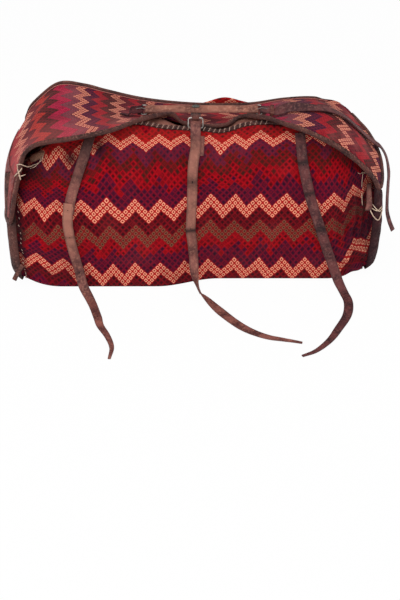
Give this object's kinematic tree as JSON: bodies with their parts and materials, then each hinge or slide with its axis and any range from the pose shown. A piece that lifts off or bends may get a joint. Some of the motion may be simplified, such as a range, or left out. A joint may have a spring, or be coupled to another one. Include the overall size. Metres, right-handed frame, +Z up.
{
  "type": "storage bag",
  "caption": "Long soft woven storage bag with leather-bound seams, a lid flap, long front straps and a buckled leather handle.",
  "frame": {"origin": "centre of the flat underside of the body, on the floor", "axes": "+X along the bag to its right end as seen from the front, +Y to the back, +Z up"},
  "size_m": [1.0291, 0.6102, 0.4631],
  "materials": {
    "woven_wool": "matt woven wool in zigzag bands",
    "faded_woven_wool": "matt faded woven wool in zigzag bands",
    "dark_leather": "worn dark leather",
    "strap_leather": "dry brown leather with creases",
    "handle_leather": "light brown leather, polished by use",
    "worn_steel": "worn bright steel wire",
    "patinated_brass": "grey-green patina"
  },
  "bodies": {
    "bag": {"front_panel": "woven_wool", "bottom_panel": "woven_wool", "back_panel": "woven_wool", "left_end_panel": "woven_wool", "right_end_panel": "woven_wool", "lid_flap": "faded_woven_wool", "left_end_binding": "dark_leather", "right_end_binding": "dark_leather", "mouth_binding": "dark_leather", "lid_binding": "dark_leather", "lid_back_piping": "dark_leather", "centre_chape": "dark_leather", "right_keeper": "dark_leather", "corner_tab": "dark_leather", "strap_left_upper": "strap_leather", "strap_left_lower": "strap_leather", "strap_right": "strap_leather", "centre_billet": "strap_leather", "strap_centre": "strap_leather", "left_tab": "strap_leather", "right_strap": "strap_leather", "centre_ring": "worn_steel", "left_buckle_frame": "worn_steel", "right_buckle_frame": "worn_steel", "handle_strap": "handle_leather", "crossing_rivet": "patinated_brass"},
    "left_prong": {"left_buckle_prong": "worn_steel"},
    "right_prong": {"right_buckle_prong": "worn_steel"}
  },
  "joints": [
    {"name": "left_prong_hinge", "type": "hinge", "parent": "bag", "child": "left_prong", "pos_m": [-0.1185, -0.05368, 0.44203], "axis": [0, 0.9135, 0.4067], "range_deg": [0, 100]},
    {"name": "right_prong_hinge", "type": "hinge", "parent": "bag", "child": "right_prong", "pos_m": [0.1515, -0.05368, 0.44203], "axis": [0, -0.9135, -0.4067], "range_deg": [0, 100]}
  ]
}
